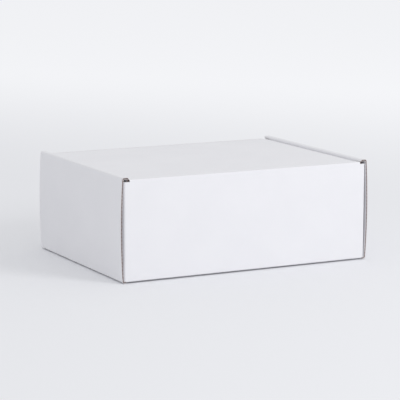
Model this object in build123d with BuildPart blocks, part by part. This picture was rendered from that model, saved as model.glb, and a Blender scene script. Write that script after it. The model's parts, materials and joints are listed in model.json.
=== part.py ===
"""Roll-end, tuck-front mailer box of thin corrugated board, in millimetres.

The box is one folded sheet. It is made here as the two parts of that sheet that
turn about the lid's crease: the tray and the lid. The origin is on the underside,
at the middle of the box. +X runs along the box, +Y points to the creased back wall,
and +Z points up. The lid is closed.
"""

from build123d import *
import os
from math import asin, cos, sin, tan

# Board
board = 1.5  # thickness
fold_inside = 0.4  # radius inside a fold
lay_gap = 0.25  # between layers that lie against each other

# Box, outside
length = 252.0  # over the creases of the side walls
depth = 184.0
height = 95.0  # underside to the tops of the side walls

# Side walls, each rolled over into two layers
side_wall = 6.5  # over both layers
side_bow = 1.6  # bulge of the outer layer at half its height
tab_length = 28.0  # each locks the inner layer into the base
tab_spacing = 92.0
slot_clearance = 0.35

# Front and back walls, with flaps that turn into the side walls
dust_flap = 70.0
dust_flap_corner = 12.0
front_drop = 0.5  # front wall's raised edge below the lid's top face
shoulder = 3.0  # slope at each end of the raised edge

# Lid
lid_drop = 2.2  # top face below the tops of the side walls
lid_clearance = 0.8  # beside each side wall
hinge_gap = 0.3  # under the crease
wing_height = 36.0  # flap along each side of the lid
wing_setback = 8.0  # from the crease
wing_taper = 8.0
wing_corner = 6.0
wing_clearance = 1.5  # to the tuck flap
tuck_height = 50.0  # flap inside the front wall
tuck_corner = 14.0
tuck_clearance = 0.5  # to the front wall

# Places that follow from these
fold_middle = fold_inside + board / 2
fold_outside = fold_inside + board
half_length = length / 2
half_depth = depth / 2
lid_top = height - lid_drop
hinge_y = half_depth - board / 2
hinge_z = lid_top - board / 2
wall_top = hinge_z - board / 2 - hinge_gap
wall_half = half_length - board - lay_gap
lid_half = half_length - side_wall - lid_clearance
inner_layer = half_length - side_wall + board / 2
inner_foot = board + lay_gap
outer_layer = half_length - board / 2
tuck_face = -half_depth + board + tuck_clearance
tuck_fold = tuck_face + board / 2
tuck_lean = asin(tuck_height / (2 * (hinge_y - tuck_face)))  # a chord of its swing
wing_back = hinge_y - wing_setback
wing_front = tuck_face + board + wing_clearance + wing_height * tan(tuck_lean)
wing_foot = lid_top - wing_height


with BuildPart() as tray:
    # Base sheet, up to the folds round it
    with BuildSketch():
        Rectangle(length - 2 * fold_outside, depth - 2 * fold_outside)
    extrude(amount=board)

    # Side walls: outer layer, rolled top and inner layer, one bent sheet on each side
    with BuildSketch(Plane.XZ.offset(-half_depth)):
        with BuildLine() as side_middle:
            Line((half_length - 2 * fold_outside, board / 2), (outer_layer, board / 2))
            ThreePointArc(
                (outer_layer, board / 2),
                (outer_layer + side_bow, height / 2),
                (outer_layer, height - board / 2),
            )
            Polyline(
                (outer_layer, height - board / 2),
                (inner_layer, height - board / 2),
                (inner_layer, inner_foot),
            )
            roll_corners = side_middle.vertices().group_by(Axis.Y)[-1]
            foot_corner = side_middle.vertices().group_by(Axis.Y)[0].sort_by(Axis.X)[-1]
            fillet([*roll_corners, foot_corner], radius=fold_middle)
        trace(line_width=board)
        mirror(about=Plane.YZ)
    extrude(amount=depth)

    # The inner layers are shorter, and stand between the front and back walls
    with BuildSketch(Plane.XY.offset(board)):
        with GridLocations(2 * inner_layer, depth - board - lay_gap, 2, 2):
            Rectangle(board + 2 * lay_gap, board + lay_gap)
    extrude(amount=height - fold_outside - board, mode=Mode.SUBTRACT)

    # Slots through the base, and the tabs of the inner layers that stand in them
    with BuildSketch():
        with GridLocations(2 * inner_layer, tab_spacing, 2, 2):
            Rectangle(board + 2 * slot_clearance, tab_length + 2 * slot_clearance)
    extrude(amount=board, mode=Mode.SUBTRACT)
    with BuildSketch(Plane.XY.offset(lay_gap)):
        with GridLocations(2 * inner_layer, tab_spacing, 2, 2):
            Rectangle(board, tab_length)
    extrude(amount=inner_foot - lay_gap)

    # Front and back walls, each one sheet with its two dust flaps
    with BuildSketch(Plane.XY.offset(fold_outside)):
        with BuildLine():
            FilletPolyline(
                (board / 2 - wall_half, half_depth - dust_flap),
                (board / 2 - wall_half, half_depth - board / 2),
                (wall_half - board / 2, half_depth - board / 2),
                (wall_half - board / 2, half_depth - dust_flap),
                radius=fold_middle,
            )
        trace(line_width=board)
        mirror(about=Plane.XZ)
    extrude(amount=wall_top - fold_outside)
    across_board = tray.edges().filter_by(Axis.X).filter_by(lambda e: e.length < 1.01 * board)
    flap_end = half_depth - dust_flap
    flap_corners = across_board.filter_by(lambda e: abs(abs(e.center().Y) - flap_end) < 0.01)
    fillet(flap_corners, radius=dust_flap_corner)

    # Folds that join the front and back walls to the base
    with BuildSketch(Plane.YZ.offset(fold_outside - wall_half)):
        with BuildLine():
            FilletPolyline(
                (half_depth - 2 * fold_outside, board / 2),
                (half_depth - board / 2, board / 2),
                (half_depth - board / 2, 2 * fold_outside),
                radius=fold_middle,
            )
        trace(line_width=board)
        mirror(about=Plane.YZ)
    extrude(amount=2 * (wall_half - fold_outside))

    # Raised middle of the front wall, between the side walls
    with BuildSketch(Plane.XZ.offset(half_depth)):
        with BuildLine():
            Polyline(
                (-lid_half, wall_top),
                (lid_half, wall_top),
                (lid_half - shoulder, lid_top - front_drop),
                (shoulder - lid_half, lid_top - front_drop),
                close=True,
            )
        make_face()
    extrude(amount=-board)

with BuildPart() as lid:
    # Lid panel and tuck flap, which leans in to swing clear of the front wall
    with BuildSketch(Plane.YZ.offset(fold_outside - lid_half)):
        with BuildLine():
            FilletPolyline(
                (hinge_y, hinge_z),
                (tuck_fold, hinge_z),
                (tuck_fold + tuck_height * sin(tuck_lean), hinge_z - tuck_height * cos(tuck_lean)),
                radius=fold_middle,
            )
        trace(line_width=board)
    extrude(amount=2 * (lid_half - fold_outside))
    across_board = lid.edges().filter_by(lambda e: abs(e.length - board) < 0.01)
    fillet(across_board.group_by(Axis.Z)[0], radius=tuck_corner)

    # Full-width strip at the crease, rounded about the hinge line
    with BuildSketch(Plane.YZ.offset(-lid_half)):
        with Locations((hinge_y - wing_setback / 2, hinge_z)):
            Rectangle(wing_setback, board)
        with Locations((hinge_y, hinge_z)):
            Circle(board / 2)
    extrude(amount=2 * lid_half)

    # Folds along the sides of the lid
    with BuildSketch(Plane.XZ.offset(-wing_back)):
        with BuildLine():
            FilletPolyline(
                (lid_half - 2 * fold_outside, hinge_z),
                (lid_half - board / 2, hinge_z),
                (lid_half - board / 2, lid_top - 2 * fold_outside),
                radius=fold_middle,
            )
        trace(line_width=board)
        mirror(about=Plane.YZ)
    extrude(amount=wing_back - wing_front)

    # Wings that hang from those folds, tapered to slip inside the side walls
    for side in (-1, 1):
        with BuildSketch(Plane.YZ.offset(side * (lid_half - board))):
            with BuildLine():
                Polyline(
                    (wing_back, lid_top - fold_outside),
                    (wing_front, lid_top - fold_outside),
                    (wing_front + wing_taper, wing_foot),
                    (wing_back - wing_taper, wing_foot),
                    close=True,
                )
            wing = make_face()
            fillet(wing.vertices().group_by(Axis.Y)[0], radius=wing_corner)
        extrude(amount=side * board)

tray.part.label = "tray"
lid.part.label = "lid"
os.makedirs("parts", exist_ok=True)
export_step(tray.part, "parts/tray.step")
export_step(lid.part, "parts/lid.step")
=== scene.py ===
"""Looks of a white corrugated mailer box, built round its packed tray and lid.

Every length is in metres, in the frame's own axes: +X along the box, +Y towards the back wall
that carries the lid's crease, and +Z up.
"""

import json
import logging
import math
from dataclasses import dataclass
from enum import Enum
from typing import Sequence

import bmesh
import bpy
from mathutils import Matrix, Vector
from mathutils.bvhtree import BVHTree


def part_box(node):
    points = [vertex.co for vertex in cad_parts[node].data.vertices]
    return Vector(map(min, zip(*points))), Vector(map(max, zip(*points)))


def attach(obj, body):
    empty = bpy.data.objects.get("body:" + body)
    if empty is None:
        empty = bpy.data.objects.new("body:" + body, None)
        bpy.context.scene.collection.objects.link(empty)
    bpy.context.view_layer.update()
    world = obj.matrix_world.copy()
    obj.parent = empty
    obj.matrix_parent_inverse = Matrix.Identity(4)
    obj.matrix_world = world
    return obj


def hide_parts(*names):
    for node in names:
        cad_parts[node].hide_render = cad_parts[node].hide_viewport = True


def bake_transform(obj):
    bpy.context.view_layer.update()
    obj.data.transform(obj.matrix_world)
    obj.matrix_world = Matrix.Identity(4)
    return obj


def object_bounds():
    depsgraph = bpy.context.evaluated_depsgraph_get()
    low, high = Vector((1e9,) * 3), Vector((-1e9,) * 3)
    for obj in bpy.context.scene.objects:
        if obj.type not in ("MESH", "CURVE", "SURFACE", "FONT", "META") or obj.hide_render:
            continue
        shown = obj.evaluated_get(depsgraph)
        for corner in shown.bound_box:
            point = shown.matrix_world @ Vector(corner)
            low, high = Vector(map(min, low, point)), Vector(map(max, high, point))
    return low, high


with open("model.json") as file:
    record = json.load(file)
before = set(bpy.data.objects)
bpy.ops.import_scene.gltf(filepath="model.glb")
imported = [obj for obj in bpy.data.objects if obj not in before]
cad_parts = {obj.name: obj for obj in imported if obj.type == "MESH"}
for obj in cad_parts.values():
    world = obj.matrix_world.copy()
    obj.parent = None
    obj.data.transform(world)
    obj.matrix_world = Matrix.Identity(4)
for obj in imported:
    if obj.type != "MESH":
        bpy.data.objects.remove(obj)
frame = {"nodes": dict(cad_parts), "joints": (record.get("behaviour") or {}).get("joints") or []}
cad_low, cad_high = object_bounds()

MM = 0.001
Point = tuple[float, float, float]
FlatPoint = tuple[float, float]
Socket = bpy.types.NodeSocket
log = logging.getLogger("mailer_box")


class Body(Enum):
    """The two parts of the folded sheet that turn about the lid's crease."""

    TRAY = "tray"
    LID = "lid"


@dataclass(frozen=True)
class Board:
    """Thin corrugated board: two liners with a fluted layer between them."""

    thickness: float = 1.5 * MM
    liner: float = 0.24 * MM
    medium: float = 0.17 * MM
    pitch: float = 3.3 * MM
    recess: float = 1.2 * MM
    fold_inside: float = 0.4 * MM
    edge_lift: float = 1.1 * MM

    @property
    def fold_outside(self) -> float:
        """Radius outside a fold."""
        return self.fold_inside + self.thickness

    @property
    def fold_middle(self) -> float:
        """Radius at the middle of the board in a fold."""
        return self.fold_inside + self.thickness / 2

    def settled(self, height: float) -> float:
        """Height of a point at the base's folded edges, which stand a little off the floor.

        Args:
            height: The point's height on a flat base.

        Returns:
            The height with the edge lifted. Above the fold it stays as it is.
        """
        if height >= self.fold_outside:
            return height
        return self.edge_lift + height * (1 - self.edge_lift / self.fold_outside)


BOARD = Board()


class NodeTree:
    """A node tree, with short calls that add and join its nodes."""

    def __init__(self, tree: bpy.types.NodeTree) -> None:
        """Work on a tree that exists."""
        self.tree = tree

    def feed(self, socket: Socket, value: object) -> None:
        """Join a socket to another one, or give it a value.

        Args:
            socket: The input.
            value: The socket that feeds it, or its value.
        """
        if isinstance(value, Socket):
            self.tree.links.new(value, socket)
        else:
            socket.default_value = value

    def node(self, kind: str, inputs: dict[str, object] | None = None, **settings: object) -> bpy.types.Node:
        """Add a node.

        Args:
            kind: The node's Blender type.
            inputs: Input names with a value, or with the socket that feeds them.
            settings: Properties of the node.

        Returns:
            The new node.
        """
        made = self.tree.nodes.new(kind)
        for key, value in settings.items():
            setattr(made, key, value)
        for key, value in (inputs or {}).items():
            self.feed(made.inputs[key], value)
        return made

    def math(self, operation: str, *values: object) -> Socket:
        """Add a Math node.

        Args:
            operation: The node's operation.
            values: Numbers or sockets, in order.

        Returns:
            The result's socket.
        """
        made = self.node("ShaderNodeMath", operation=operation)
        for socket, value in zip(made.inputs, values):
            self.feed(socket, value)
        return made.outputs[0]

    def vector(self, operation: str, *values: object) -> bpy.types.Node:
        """Add a Vector Math node.

        Args:
            operation: The node's operation.
            values: Vectors or sockets, in order.

        Returns:
            The node. Its result is "Vector" or "Value".
        """
        made = self.node("ShaderNodeVectorMath", operation=operation)
        for socket, value in zip(made.inputs, values):
            self.feed(socket, value)
        return made


class Shader(NodeTree):
    """A material of one Principled shader and the nodes that feed it."""

    def __init__(self, name: str, roughness: float, specular: float) -> None:
        """Start the material.

        Args:
            name: The material's name.
            roughness: The surface's roughness, from 0 to 1.
            specular: The strength of its mirror-like part, where 0.5 is usual.
        """
        self.material = bpy.data.materials.new(name)
        self.material.use_nodes = True
        super().__init__(self.material.node_tree)
        self.principled = self.tree.nodes["Principled BSDF"]
        self.surface("Roughness", roughness)
        self.surface("Specular IOR Level", specular)

    def surface(self, name: str, value: object) -> None:
        """Set an input of the Principled shader."""
        self.feed(self.principled.inputs[name], value)

    def noise(self, place: Socket, scale: float, detail: float) -> Socket:
        """Add a Noise Texture.

        Args:
            place: The place it is read at.
            scale: Its scale.
            detail: How many finer layers it has.

        Returns:
            Its value, from 0 to 1.
        """
        return self.node("ShaderNodeTexNoise", {"Vector": place, "Scale": scale, "Detail": detail}).outputs[0]

    def blend(self, share: Socket, low: Point, high: Point) -> Socket:
        """Mix two colours.

        Args:
            share: The second colour's share, from 0 to 1.
            low: The first colour.
            high: The second colour.

        Returns:
            The mixed colour.
        """
        mix = self.node("ShaderNodeMix", {"Factor": share}, data_type="RGBA")
        first, second = (socket for socket in mix.inputs if socket.type == "RGBA")
        first.default_value = (*low, 1)
        second.default_value = (*high, 1)
        return next(socket for socket in mix.outputs if socket.type == "RGBA")

    def relief(self, height: Socket, strength: float, depth: float) -> None:
        """Bump the surface.

        Args:
            height: The relief, from 0 to about 1.
            strength: The bump's strength.
            depth: How deep a relief of 1 is.
        """
        bump = self.node("ShaderNodeBump", {"Height": height, "Strength": strength, "Distance": depth})
        self.surface("Normal", bump.outputs["Normal"])


@dataclass(frozen=True)
class LinerPaper:
    """White coated liner, with faint mottling and the flutes just showing through."""

    shade: Point = (0.770, 0.770, 0.800)
    light: Point = (0.835, 0.832, 0.858)
    roughness: float = 0.62
    specular: float = 0.25
    cloud_scale: float = 26.0
    cloud_detail: float = 4.0
    cloud_tone: float = 0.75
    cloud_relief: float = 0.5
    speck_scale: float = 900.0
    speck_detail: float = 3.0
    speck_relief: float = 0.05
    flute_relief: float = 0.06
    flute_drift: float = 1.2
    drift_scale: float = 9.0
    drift_detail: float = 2.0
    side_wall_slope: float = 0.7
    relief_strength: float = 0.35
    relief_depth: float = 0.3 * MM

    def flutes(self, make: Shader, place: bpy.types.Node) -> Socket:
        """Add the washboard of the flutes, which cross the box's length.

        Args:
            make: The material that is built.
            place: Its Texture Coordinate node.

        Returns:
            The flutes' relief, from 0 to 1: along Z on the side walls and along X elsewhere.
        """
        here = make.node("ShaderNodeSeparateXYZ", {"Vector": place.outputs["Object"]}).outputs
        facing = make.node("ShaderNodeSeparateXYZ", {"Vector": place.outputs["Normal"]}).outputs
        on_side = make.math("GREATER_THAN", make.math("ABSOLUTE", facing["X"]), self.side_wall_slope)
        elsewhere = make.math("SUBTRACT", 1.0, on_side)
        across = make.math("ADD", make.math("MULTIPLY", on_side, here["Z"]),
                           make.math("MULTIPLY", elsewhere, here["X"]))
        wander = make.noise(place.outputs["Object"], self.drift_scale, self.drift_detail)
        drift = make.math("MULTIPLY", wander, self.flute_drift)
        turn = make.math("ADD", make.math("MULTIPLY", across, 2 * math.pi / BOARD.pitch), drift)
        return make.math("MULTIPLY_ADD", make.math("SINE", turn), 0.5, 0.5)

    def material(self) -> bpy.types.Material:
        """Build the finish.

        Returns:
            The material.
        """
        make = Shader("white_liner", self.roughness, self.specular)
        place = make.node("ShaderNodeTexCoord")
        cloud = make.noise(place.outputs["Object"], self.cloud_scale, self.cloud_detail)
        speck = make.noise(place.outputs["Object"], self.speck_scale, self.speck_detail)
        tone = make.math("ADD", make.math("MULTIPLY", cloud, self.cloud_tone),
                         make.math("MULTIPLY", speck, 1 - self.cloud_tone))
        make.surface("Base Color", make.blend(tone, self.shade, self.light))
        paper = make.math("ADD", make.math("MULTIPLY", speck, self.speck_relief),
                          make.math("MULTIPLY", cloud, self.cloud_relief))
        height = make.math("ADD", make.math("MULTIPLY", self.flutes(make, place), self.flute_relief), paper)
        make.relief(height, self.relief_strength, self.relief_depth)
        return make.material


@dataclass(frozen=True)
class RawPaper:
    """Raw paper where the board is cut, with fibres and uneven tone."""

    name: str
    dark: Point
    pale: Point
    roughness: float = 0.92
    specular: float = 0.1
    fibre_scale: float = 1500.0
    fibre_detail: float = 5.0
    patch_share: float = 1 / 8
    patch_detail: float = 2.0
    fibre_tone: float = 0.6
    relief_strength: float = 0.5
    relief_depth: float = 0.1 * MM

    def material(self) -> bpy.types.Material:
        """Build the finish.

        Returns:
            The material.
        """
        make = Shader(self.name, self.roughness, self.specular)
        here = make.node("ShaderNodeTexCoord").outputs["Object"]
        fibre = make.noise(here, self.fibre_scale, self.fibre_detail)
        patch = make.noise(here, self.fibre_scale * self.patch_share, self.patch_detail)
        tone = make.math("ADD", make.math("MULTIPLY", fibre, self.fibre_tone),
                         make.math("MULTIPLY", patch, 1 - self.fibre_tone))
        make.surface("Base Color", make.blend(tone, self.dark, self.pale))
        make.relief(fibre, self.relief_strength, self.relief_depth)
        return make.material


CUT_BOARD = RawPaper("cut_board", (0.12, 0.088, 0.082), (0.25, 0.195, 0.188))
LINER_EDGE = RawPaper("liner_edge", (0.56, 0.50, 0.50), (0.74, 0.69, 0.69))
FLUTED_PAPER = RawPaper("fluted_paper", (0.31, 0.240, 0.228), (0.52, 0.43, 0.415))


@dataclass
class Finishes:
    """The materials of the box, made once."""

    liner: bpy.types.Material
    cut: bpy.types.Material
    liner_edge: bpy.types.Material
    medium: bpy.types.Material

    @classmethod
    def build(cls) -> "Finishes":
        """Make every finish."""
        return cls(LinerPaper().material(), CUT_BOARD.material(), LINER_EDGE.material(),
                   FLUTED_PAPER.material())


def new_object(name: str, mesh: bpy.types.Mesh, materials: Sequence[bpy.types.Material]) -> bpy.types.Object:
    """Link a mesh to the scene as an object at the origin.

    Args:
        name: The object's name.
        mesh: Its mesh, which has no material slots yet.
        materials: Its material slots, in order.

    Returns:
        The object.
    """
    for material in materials:
        mesh.materials.append(material)
    obj = bpy.data.objects.new(name, mesh)
    bpy.context.scene.collection.objects.link(obj)
    return obj


def baked_mesh(obj: bpy.types.Object) -> bpy.types.Mesh:
    """Work out an object's modifiers.

    Args:
        obj: The object.

    Returns:
        A new, plain mesh of what it shows.
    """
    bpy.context.view_layer.update()
    graph = bpy.context.evaluated_depsgraph_get()
    return bpy.data.meshes.new_from_object(obj.evaluated_get(graph))


def shade_smoothly(obj: bpy.types.Object, sharp: float = 35.0) -> bpy.types.Object:
    """Shade an object smoothly, with flat faces kept flat, and bake that into its mesh.

    Args:
        obj: The object, at the origin.
        sharp: Edges that turn by more degrees than this stay sharp.

    Returns:
        The same object, with no modifier.
    """
    made = bmesh.new()
    made.from_mesh(obj.data)
    for face in made.faces:
        face.smooth = True
    for edge in made.edges:
        joined = len(edge.link_faces) == 2
        edge.smooth = joined and edge.calc_face_angle(math.pi) < math.radians(sharp)
    made.to_mesh(obj.data)
    made.free()
    weighted = obj.modifiers.new("flat_faces", "WEIGHTED_NORMAL")
    weighted.keep_sharp = True
    weighted.weight = 100
    mesh = baked_mesh(obj)
    obj.modifiers.clear()
    obj.data = mesh
    return obj


def arc(centre: FlatPoint, radius: float, start: float, end: float, steps: int = 6) -> list[FlatPoint]:
    """Make the points of an arc in a plane.

    Args:
        centre: The arc's centre.
        radius: Its radius.
        start: Its first angle, in degrees.
        end: Its last angle, in degrees.
        steps: How many chords it has.

    Returns:
        Its points, from start to end.
    """
    turns = [math.radians(start + (end - start) * i / steps) for i in range(steps + 1)]
    return [(centre[0] + radius * math.cos(a), centre[1] + radius * math.sin(a)) for a in turns]


def report_piece(piece: bpy.types.Object, place: str) -> None:
    """Log a finished piece and the body or bodies that it belongs to."""
    log.info("%s on %s: %d faces", piece.name, place, len(piece.data.polygons))


@dataclass
class CutEdge:
    """The middle line of a cut edge of the board, and the way into the board."""

    path: list[Point]
    inward: Point

    @property
    def length(self) -> float:
        """Length of the edge."""
        return sum(math.dist(a, b) for a, b in zip(self.path, self.path[1:]))

    def curve(self) -> bpy.types.Object:
        """Draw the edge as a curve object.

        Returns:
            The object, linked to the scene.
        """
        curve = bpy.data.curves.new("edge_path", "CURVE")
        curve.dimensions = "3D"
        spline = curve.splines.new("POLY")
        spline.points.add(len(self.path) - 1)
        for knot, point in zip(spline.points, self.path):
            knot.co = (*point, 1.0)
        obj = bpy.data.objects.new("edge_path", curve)
        bpy.context.scene.collection.objects.link(obj)
        return obj


class EdgeFlutes(NodeTree):
    """Geometry Nodes that lay two liners and a fluted layer along a cut edge of the board."""

    INPUTS = {"Path": "Geometry", "Steps": "Int", "Board": "Float", "Liner": "Float", "Medium": "Float",
              "Pitch": "Float", "Recess": "Float", "Inward": "Vector", "Liner Finish": "Material",
              "Medium Finish": "Material"}
    STEPS_PER_FLUTE = 12
    FEWEST_STEPS = 8
    END_FACE_SLOPE = 0.7

    def __init__(self, board: Board, finishes: Finishes) -> None:
        """Build the node tree.

        Args:
            board: The board's sizes.
            finishes: The materials of the liners and the fluted layer.
        """
        super().__init__(bpy.data.node_groups.new("corrugated_edge", "GeometryNodeTree"))
        self.board = board
        self.finishes = finishes
        face = self.tree.interface
        self.sockets = {
            name: face.new_socket(name, in_out="INPUT", socket_type="NodeSocket" + kind).identifier
            for name, kind in self.INPUTS.items()
        }
        face.new_socket("Edge", in_out="OUTPUT", socket_type="NodeSocketGeometry")
        self.given = self.node("NodeGroupInput").outputs
        liner, medium = self.given["Liner"], self.given["Medium"]
        half = self.math("MULTIPLY", self.math("SUBTRACT", self.given["Board"], liner), 0.5)
        swing = self.math("SUBTRACT", half, self.math("ADD", liner, medium))
        swing = self.math("ADD", swing, self.math("MULTIPLY", liner, 0.5))
        join = self.node("GeometryNodeJoinGeometry")
        for layer in (
            self.layer(liner, half, None, "Liner Finish"),
            self.layer(liner, self.math("MULTIPLY", half, -1.0), None, "Liner Finish"),
            self.layer(medium, 0.0, swing, "Medium Finish"),
        ):
            self.feed(join.inputs[0], layer)
        real = self.node("GeometryNodeRealizeInstances", {"Geometry": join.outputs[0]})
        self.feed(self.node("NodeGroupOutput").inputs[0], real.outputs[0])

    def wave(self, along: Socket, swing: Socket) -> Socket:
        """Add the flutes' wave.

        Args:
            along: The place along the path, from 0 to 1.
            swing: How far the wave goes to each side.

        Returns:
            The wave's distance to one side.
        """
        length = self.node("GeometryNodeCurveLength", {"Curve": self.given["Path"]}).outputs[0]
        turns = self.math("DIVIDE", self.math("MULTIPLY", along, length), self.given["Pitch"])
        return self.math("MULTIPLY", self.math("SINE", self.math("MULTIPLY", turns, 2 * math.pi)), swing)

    def scaled(self, vector: Socket, size: Socket) -> Socket:
        """Add a node that scales a vector."""
        inputs = {"Vector": vector, "Scale": size}
        return self.node("ShaderNodeVectorMath", inputs, operation="SCALE").outputs[0]

    def layer(self, thickness: Socket, middle: object, swing: Socket | None, finish: str) -> Socket:
        """Add one paper layer that follows the path.

        Args:
            thickness: The layer's thickness.
            middle: Its place across the board, from the board's middle.
            swing: How far it waves to each side, or None for a liner.
            finish: The name of the input that holds its material.

        Returns:
            The layer's geometry.
        """
        cells = {"Size": (1.0, 1.0, 1.0), "Vertices X": self.given["Steps"], "Vertices Y": 2, "Vertices Z": 2}
        bar = self.node("GeometryNodeMeshCube", cells)
        position = self.node("GeometryNodeInputPosition").outputs[0]
        here = self.node("ShaderNodeSeparateXYZ", {"Vector": position}).outputs
        along = self.math("ADD", here["X"], 0.5)
        path = {"Curves": self.given["Path"], "Factor": along}
        sample = self.node("GeometryNodeSampleCurve", path, mode="FACTOR").outputs
        tangent = self.vector("NORMALIZE", sample["Tangent"]).outputs[0]
        across = self.vector("CROSS_PRODUCT", self.given["Inward"], tangent).outputs[0]
        side = self.math("ADD", self.math("MULTIPLY", here["Y"], thickness), middle)
        if swing is not None:
            side = self.math("ADD", side, self.wave(along, swing))
        deep = self.math("MULTIPLY", self.math("ADD", here["Z"], 0.5), self.given["Recess"])
        place = self.vector("ADD", sample["Position"], self.scaled(across, side)).outputs[0]
        place = self.vector("ADD", place, self.scaled(self.given["Inward"], deep)).outputs[0]
        moved = self.node("GeometryNodeSetPosition", {"Geometry": bar.outputs["Mesh"], "Position": place})
        dressed = {"Geometry": moved.outputs[0], "Material": self.given[finish]}
        return self.node("GeometryNodeSetMaterial", dressed).outputs[0]

    def along(self, edge: CutEdge) -> bpy.types.Mesh:
        """Lay the layers along one edge.

        Args:
            edge: The cut edge.

        Returns:
            The mesh of the three layers. Only the liners' end faces are raw paper.
        """
        obj = edge.curve()
        modifier = obj.modifiers.new("flutes", "NODES")
        modifier.node_group = self.tree
        steps = round(edge.length / self.board.pitch * self.STEPS_PER_FLUTE)
        values = {"Steps": max(self.FEWEST_STEPS, steps), "Board": self.board.thickness,
                  "Liner": self.board.liner, "Medium": self.board.medium, "Pitch": self.board.pitch,
                  "Recess": self.board.recess, "Inward": edge.inward,
                  "Liner Finish": self.finishes.liner_edge, "Medium Finish": self.finishes.medium}
        for name, value in values.items():
            modifier[self.sockets[name]] = value
        obj.update_tag()
        mesh = baked_mesh(obj)
        bpy.data.objects.remove(obj)
        liner = mesh.materials.find(self.finishes.liner_edge.name)
        for face in mesh.polygons:
            at_end = abs(face.normal.dot(Vector(edge.inward))) > self.END_FACE_SLOPE
            if face.material_index != liner:
                face.material_index = 1
            else:
                face.material_index = 0 if at_end else 2
        return mesh

    def edges(self, name: str, cuts: Sequence[CutEdge]) -> bpy.types.Object:
        """Make one object of the layers along several cut edges.

        Args:
            name: The object's name.
            cuts: The cut edges.

        Returns:
            The object, with outward faces.
        """
        whole = bmesh.new()
        for cut in cuts:
            whole.from_mesh(self.along(cut))
        bmesh.ops.recalc_face_normals(whole, faces=whole.faces)
        mesh = bpy.data.meshes.new(name)
        whole.to_mesh(mesh)
        whole.free()
        return new_object(name, mesh, [self.finishes.liner_edge, self.finishes.medium, self.finishes.liner])


@dataclass
class FoldedSheet:
    """A part of the folded sheet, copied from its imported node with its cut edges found."""

    body: Body
    board: Board
    finishes: Finishes
    hinge_y: float
    hinge_z: float
    merge: float = 0.001 * MM
    probe: float = 0.01 * MM
    slack: float = 0.15 * MM

    def build(self) -> bpy.types.Object:
        """Copy the node, give each face its finish and open the cut edges for their flutes.

        Returns:
            The object that stands for the node.
        """
        made = bmesh.new()
        made.from_mesh(frame["nodes"][self.body.value].data)
        bmesh.ops.remove_doubles(made, verts=made.verts, dist=self.merge)
        made.normal_update()
        tree = BVHTree.FromBMesh(made)
        for face in made.faces:
            face.material_index = 1 if self.is_cut(tree, face) else 0
        self.open_edges(made)
        name = self.body.value + "_board"
        mesh = bpy.data.meshes.new(name)
        made.to_mesh(mesh)
        made.free()
        return shade_smoothly(new_object(name, mesh, [self.finishes.liner, self.finishes.cut]))

    def is_cut(self, tree: BVHTree, face: bmesh.types.BMFace) -> bool:
        """Tell a cut edge from a liner, which has the other liner one thickness behind it.

        Args:
            tree: The whole sheet, for rays.
            face: The face.

        Returns:
            True for a face of a cut edge. The crease's own faces count as liner.
        """
        middle = face.calc_center_median()
        if math.hypot(middle.y - self.hinge_y, middle.z - self.hinge_z) < self.board.thickness:
            return False
        hit = tree.ray_cast(middle - face.normal * self.probe, -face.normal)
        return hit[0] is None or abs(hit[3] - self.board.thickness) > self.slack

    def open_edges(self, made: bmesh.types.BMesh) -> None:
        """Set back the cut edges that get flutes. A part with none keeps this method, which does nothing."""

    def dress(self, piece: bpy.types.Object) -> None:
        """Let a piece ride on this body.

        Args:
            piece: The finished piece.
        """
        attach(piece, self.body.value)
        report_piece(piece, self.body.value)


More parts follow.
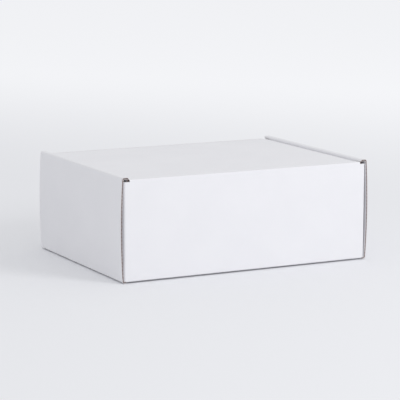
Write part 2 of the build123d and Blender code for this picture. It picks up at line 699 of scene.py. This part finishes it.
@dataclass
class Tray(FoldedSheet):
    """Base and four walls. The side walls' cut ends show at the box's corners."""

    half_length: float = 126.0 * MM
    side_wall: float = 6.5 * MM
    bow: float = 1.6 * MM
    bow_steps: int = 24
    lay_gap: float = 0.25 * MM
    lid_clearance: float = 0.8 * MM
    shoulder: float = 3.0 * MM
    front_drop: float = 0.5 * MM
    near: float = 0.02 * MM

    def __post_init__(self) -> None:
        """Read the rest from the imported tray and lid."""
        tray_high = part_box(Body.TRAY.value)[1]
        self.half_depth = tray_high.y
        self.height = tray_high.z
        self.wall_half = self.half_length - self.board.thickness - self.lay_gap
        self.lid_half = self.half_length - self.side_wall - self.lid_clearance
        self.front_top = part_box(Body.LID.value)[1].z - self.front_drop

    def at_roll_end(self, place: Vector) -> bool:
        """Tell whether a point is on a side wall's cut end, where flutes go.

        Args:
            place: The point.

        Returns:
            True on the outer layer, the rolled top or the foot, at either end.
        """
        outer = abs(place.x) > self.wall_half + self.near
        top = place.z > self.hinge_z and abs(place.x) > self.lid_half + self.lid_clearance / 2
        foot = place.z < self.board.fold_outside - self.near and abs(place.x) > self.lid_half
        return abs(abs(place.y) - self.half_depth) < self.near and (outer or top or foot)

    def open_edges(self, made: bmesh.types.BMesh) -> None:
        """Set back the side walls' cut ends and the front wall's top, and lift the base's edges.

        Args:
            made: The tray's mesh.
        """
        edge_x = self.half_length - self.board.fold_outside - self.near
        edge_y = self.half_depth - self.board.fold_outside - self.near
        for vert in made.verts:
            place = vert.co
            if self.at_roll_end(place):
                place.y -= math.copysign(self.board.recess, place.y)
            elif abs(place.z - self.front_top) < self.near and place.y < 0:
                place.z -= self.board.recess / 2
            if abs(place.x) > edge_x or abs(place.y) > edge_y:
                place.z = self.board.settled(place.z)

    def roll_path(self) -> list[FlatPoint]:
        """Draw the middle line of a side wall's cut end, from its foot over the rolled top.

        Returns:
            Its points, as x and z.
        """
        board = self.board
        outer = self.half_length - board.thickness / 2
        low, high = board.fold_outside, self.height - board.fold_outside
        middle = self.height / 2
        reach = middle - board.thickness / 2
        rise = [low + (high - low) * i / self.bow_steps for i in range(1, self.bow_steps)]
        outer_fold = self.half_length - board.fold_outside
        inner_fold = self.half_length - self.side_wall + board.fold_outside
        return [
            (outer_fold - board.fold_outside, board.thickness / 2),
            *arc((outer_fold, low), board.fold_middle, -90, 0),
            *[(outer + self.bow * (1 - ((z - middle) / reach) ** 2), z) for z in rise],
            *arc((outer_fold, high), board.fold_middle, 0, 90),
            *arc((inner_fold, high), board.fold_middle, 90, 180),
        ]

    def cut_edges(self) -> list[CutEdge]:
        """List the edges that get flutes.

        Returns:
            The four ends of the side walls and the front wall's top.
        """
        cuts = []
        roll = [(x, self.board.settled(z)) for x, z in self.roll_path()]
        for side in (-1, 1):
            for end in (-1, 1):
                path = [(side * x, end * self.half_depth, z) for x, z in roll]
                cuts.append(CutEdge(path, (0.0, -float(end), 0.0)))
        half = self.lid_half - self.shoulder
        front = self.board.thickness / 2 - self.half_depth
        top = [(-half, front, self.front_top), (half, front, self.front_top)]
        cuts.append(CutEdge(top, (0.0, 0.0, -1.0)))
        return cuts


@dataclass
class Lid(FoldedSheet):
    """Lid panel with its wings and tuck flap, whose cut edges stay plain."""


@dataclass
class Crease:
    """White liner that runs unbroken over the fold from the back wall to the lid."""

    board: Board
    finishes: Finishes
    hinge_y: float
    hinge_z: float
    lid_half: float
    reach: float = 3.0 * MM
    flat_steps: int = 4
    fold_steps: int = 10
    proud: float = 0.03 * MM
    skin: float = 0.2 * MM
    steps_along: int = 120

    def section(self, offset: float) -> list[FlatPoint]:
        """Draw a profile from the wall over the fold to the lid.

        Args:
            offset: How far it stands off the board.

        Returns:
            Its points, as y and z.
        """
        radius = self.board.thickness / 2 + offset
        steps = self.flat_steps
        wall = [(self.hinge_y + radius, self.hinge_z - self.reach * (1 - i / steps)) for i in range(steps)]
        fold = arc((self.hinge_y, self.hinge_z), radius, 0, 90, self.fold_steps)
        lid = [(self.hinge_y - self.reach * (i + 1) / steps, self.hinge_z + radius) for i in range(steps)]
        return [*wall, *fold, *lid]

    def build(self) -> bpy.types.Object:
        """Make the strip as a closed skin.

        Returns:
            The strip.
        """
        ring = [*self.section(self.proud), *reversed(self.section(self.proud - self.skin))]
        made = bmesh.new()
        rows = []
        for i in range(self.steps_along + 1):
            x = self.lid_half * (2 * i / self.steps_along - 1)
            rows.append([made.verts.new((x, y, z)) for y, z in ring])
        count = len(ring)
        for row, following in zip(rows, rows[1:]):
            for i in range(count):
                j = (i + 1) % count
                made.faces.new((row[i], row[j], following[j], following[i]))
        made.faces.new(rows[0])
        made.faces.new(rows[-1])
        bmesh.ops.recalc_face_normals(made, faces=made.faces)
        mesh = bpy.data.meshes.new("lid_crease")
        made.to_mesh(mesh)
        made.free()
        return shade_smoothly(new_object("lid_crease", mesh, [self.finishes.liner]))

    def dress(self, piece: bpy.types.Object) -> None:
        """Bake the strip's placement into its mesh, where it sits between the tray and the lid.

        Args:
            piece: The strip.
        """
        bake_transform(piece)
        report_piece(piece, "tray to lid")


@dataclass
class Studio:
    """Pale floor, soft light and the camera."""

    floor_half: float = 30.0
    floor_colour: Point = (0.845, 0.850, 0.875)
    floor_roughness: float = 0.9
    backdrop_colour: Point = (0.975, 0.978, 0.995)
    backdrop_tint: Point = (0.95, 0.96, 1.0)
    backdrop_glow: float = 0.07
    backdrop_start: float = 0.25
    backdrop_end: float = 1.6
    backdrop_slant: float = 0.35
    world_colour: Point = (0.985, 0.99, 1.0)
    world_level: float = 0.835
    lamp_power: float = 14.0
    lamp_from: Point = (-0.50, 0.80, 0.42)
    lamp_distance: float = 2.2
    lamp_width: float = 0.9
    lens: float = 174.2
    sensor: float = 36.0
    azimuth: float = 27.39
    elevation: float = 9.69
    roll: float = 0.158
    distance: float = 1.839
    shift_right: float = -1.4 * MM
    shift_up: float = 4.4 * MM
    farthest: float = 200.0

    def floor_material(self) -> bpy.types.Material:
        """Make the floor's finish, which turns paler behind the box.

        Returns:
            The material. Its glow is for the camera, and for what mirrors or lets through.
        """
        turn = math.radians(self.azimuth)
        behind = (-math.sin(turn) - self.backdrop_slant * math.cos(turn),
                  -math.cos(turn) + self.backdrop_slant * math.sin(turn), 0)
        make = Shader("floor", self.floor_roughness, 0.0)
        here = make.node("ShaderNodeTexCoord").outputs["Object"]
        away = make.vector("DOT_PRODUCT", here, behind).outputs["Value"]
        span = {"Value": away, "From Min": self.backdrop_start, "From Max": self.backdrop_end}
        depth = make.node("ShaderNodeMapRange", span, interpolation_type="SMOOTHSTEP").outputs["Result"]
        make.surface("Base Color", make.blend(depth, self.floor_colour, self.backdrop_colour))
        ray = make.node("ShaderNodeLightPath").outputs
        mirrored = make.math("MAXIMUM", ray["Is Glossy Ray"], ray["Is Transmission Ray"])
        seen = make.math("MAXIMUM", ray["Is Camera Ray"], mirrored)
        make.surface("Emission Color", (*self.backdrop_tint, 1))
        glow = make.math("MULTIPLY", make.math("MULTIPLY", seen, self.backdrop_glow), depth)
        make.surface("Emission Strength", glow)
        return make.material

    def floor(self) -> None:
        """Make the floor."""
        half = self.floor_half
        corners = [(-half, -half, 0), (half, -half, 0), (half, half, 0), (-half, half, 0)]
        mesh = bpy.data.meshes.new("floor")
        mesh.from_pydata(corners, [], [(0, 1, 2, 3)])
        new_object("floor", mesh, [self.floor_material()])

    def light(self) -> None:
        """Light the box evenly, with a broad lamp from one side of the back wall."""
        world = bpy.data.worlds.new("studio")
        bpy.context.scene.world = world
        world.use_nodes = True
        background = world.node_tree.nodes["Background"]
        background.inputs["Color"].default_value = (*self.world_colour, 1)
        background.inputs["Strength"].default_value = self.world_level
        lamp = bpy.data.lights.new("key", "AREA")
        lamp.energy = self.lamp_power
        lamp.shape = "DISK"
        lamp.size = self.lamp_width
        key = bpy.data.objects.new("key", lamp)
        towards = Vector(self.lamp_from).normalized()
        key.location = towards * self.lamp_distance
        key.rotation_mode = "QUATERNION"
        key.rotation_quaternion = towards.to_track_quat("Z", "Y")
        bpy.context.scene.collection.objects.link(key)

    def camera(self, middle: Vector) -> None:
        """Place the camera.

        Args:
            middle: The middle of the box.
        """
        turn, tilt, spin = (math.radians(a) for a in (self.azimuth, self.elevation, self.roll))
        level_forward = Vector((-math.sin(turn), -math.cos(turn), 0))
        forward = level_forward * math.cos(tilt) - Vector((0, 0, math.sin(tilt)))
        level = Vector((-math.cos(turn), math.sin(turn), 0))
        upward = level.cross(forward)
        right = level * math.cos(spin) + upward * math.sin(spin)
        up = upward * math.cos(spin) - level * math.sin(spin)
        data = bpy.data.cameras.new("camera")
        data.lens = self.lens
        data.sensor_width = self.sensor
        data.clip_end = self.farthest
        obj = bpy.data.objects.new("camera", data)
        place = middle - forward * self.distance + right * self.shift_right + up * self.shift_up
        axes = Matrix((right, up, -forward)).transposed().to_4x4()
        obj.matrix_world = Matrix.Translation(place) @ axes
        bpy.context.scene.collection.objects.link(obj)
        bpy.context.scene.camera = obj

    def build(self, middle: Vector) -> None:
        """Make the floor, the lights and the camera.

        Args:
            middle: The middle of the box.
        """
        bpy.context.scene.view_settings.view_transform = "Standard"
        self.floor()
        self.light()
        self.camera(middle)


def main() -> None:
    """Build the looks."""
    logging.basicConfig(level=logging.INFO, format="%(message)s")
    low, high = cad_low, cad_high
    Studio().build((low + high) / 2)
    finishes = Finishes.build()
    _, hinge_y, hinge_z = frame["joints"][0]["pos_m"]
    tray = Tray(Body.TRAY, BOARD, finishes, hinge_y, hinge_z)
    lid = Lid(Body.LID, BOARD, finishes, hinge_y, hinge_z)
    for sheet in (tray, lid):
        piece = sheet.build()
        sheet.dress(piece)
        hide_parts(sheet.body.value)
    tray.dress(EdgeFlutes(BOARD, finishes).edges("tray_cut_edges", tray.cut_edges()))
    crease = Crease(BOARD, finishes, hinge_y, hinge_z, tray.lid_half)
    crease.dress(crease.build())


if __name__ == "__main__":
    main()
